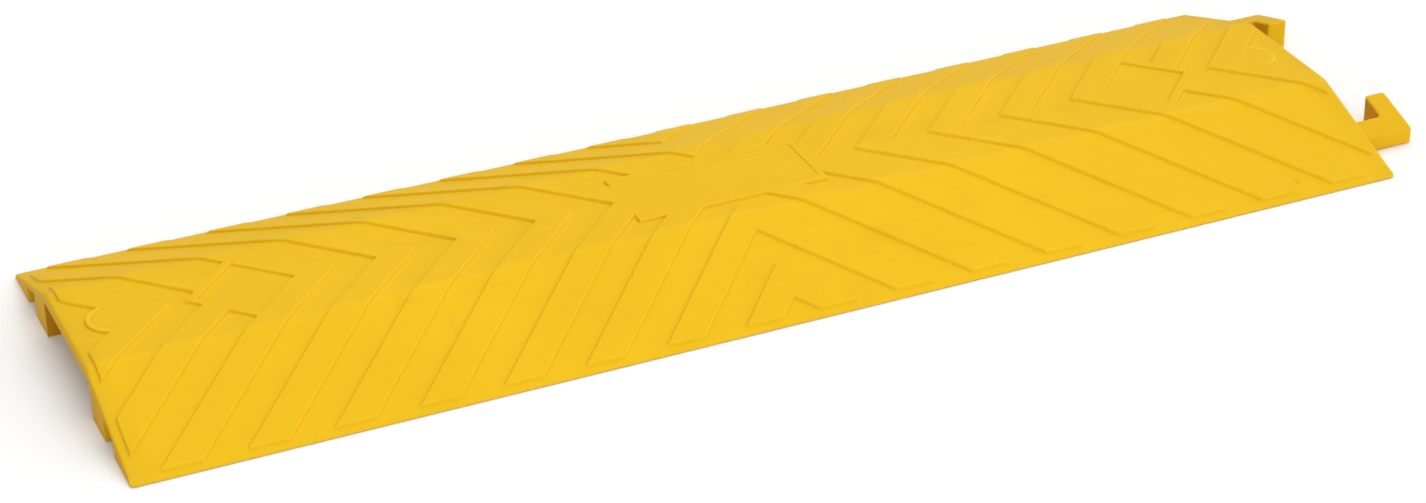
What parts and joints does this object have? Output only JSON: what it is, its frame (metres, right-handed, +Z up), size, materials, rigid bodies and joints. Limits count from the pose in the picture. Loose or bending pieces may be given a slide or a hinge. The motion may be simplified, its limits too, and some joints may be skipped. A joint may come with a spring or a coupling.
{
  "type": "drop-over cable protector ramp",
  "caption": "Low yellow drive-over ramp with sloped sides, raised chevron tread and an open cable channel underneath; hooks at one end are shaped to go into slots like those at its other end.",
  "frame": {"origin": "centre of the whole part in plan, on the surface that it stands on", "axes": "+X along the ramp towards the hooks, +Y across the ramp away from the picture's near side, +Z up"},
  "size_m": [0.9546, 0.286, 0.0376],
  "materials": {
    "ramp_yellow": "satin moulded polyurethane, safety yellow",
    "hook_yellow": "satin moulded polyurethane, safety yellow",
    "screw_steel": "zinc plated",
    "insert_brass": "plain brass",
    "pad_rubber": "matt black rubber"
  },
  "bodies": {
    "root": {"ramp_deck": "ramp_yellow", "hook_connector_front": "hook_yellow", "hook_connector_rear": "hook_yellow", "hook_screw_front_1": "screw_steel", "hook_screw_front_2": "screw_steel", "hook_screw_rear_1": "screw_steel", "hook_screw_rear_2": "screw_steel", "insert_front_1": "insert_brass", "insert_front_2": "insert_brass", "insert_rear_1": "insert_brass", "insert_rear_2": "insert_brass", "grip_pad_front_1": "pad_rubber", "grip_pad_front_2": "pad_rubber", "grip_pad_front_3": "pad_rubber", "grip_pad_rear_1": "pad_rubber", "grip_pad_rear_2": "pad_rubber", "grip_pad_rear_3": "pad_rubber"}
  },
  "joints": []
}
